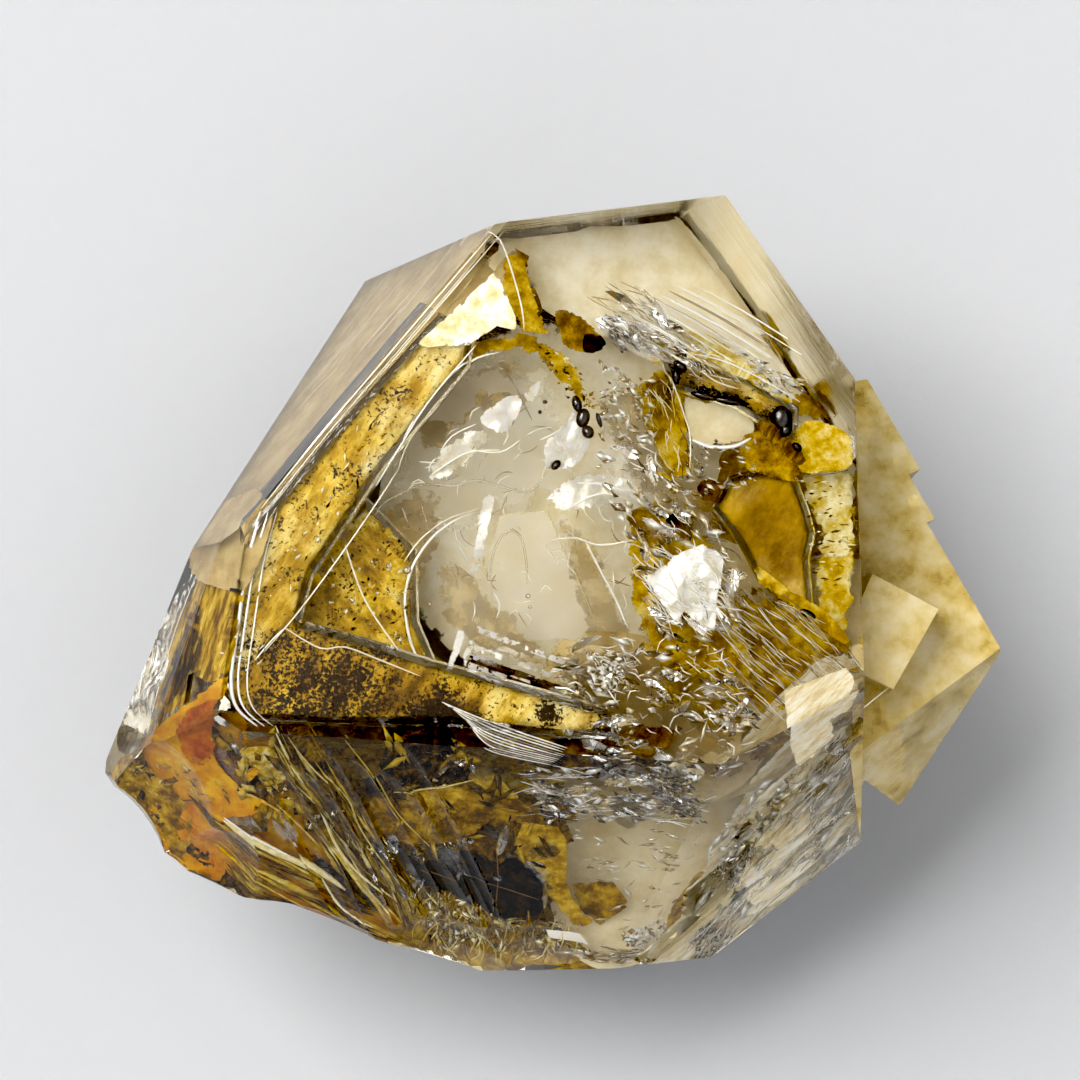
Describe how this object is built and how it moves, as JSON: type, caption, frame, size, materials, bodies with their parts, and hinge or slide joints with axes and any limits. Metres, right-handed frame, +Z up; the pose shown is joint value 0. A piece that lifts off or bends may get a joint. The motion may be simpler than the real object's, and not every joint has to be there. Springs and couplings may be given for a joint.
{
  "type": "skeletal quartz crystal",
  "caption": "Clear skeletal quartz crystal lying on one flat face, with a smaller crystal grown into its side and clay, iron oxide and dark matter in its hollows.",
  "frame": {"origin": "on the face the crystal lies on, under the middle of its bounding box", "axes": "+Z up, square to the resting face; +X from the broken tip towards the smaller crystal"},
  "size_m": [0.0462, 0.0392, 0.024],
  "materials": {
    "quartz": "clear, slightly smoky, polished growth faces and rough broken ones",
    "ochre_clay": "matt, mottled ochre with dark specks",
    "amber_clay": "matt orange, iron-stained",
    "dark_earth": "near black, finely cracked",
    "iron_oxide": "dark brown with bright yellow crust"
  },
  "bodies": {
    "root": {"quartz_crystal": "quartz", "clay_rim_fill": "ochre_clay", "clay_floor_fill": "ochre_clay", "amber_clay_fill": "amber_clay", "dark_earth_fill": "dark_earth", "iron_oxide_bar": "iron_oxide", "amber_clay_leaf": "amber_clay"}
  },
  "joints": []
}
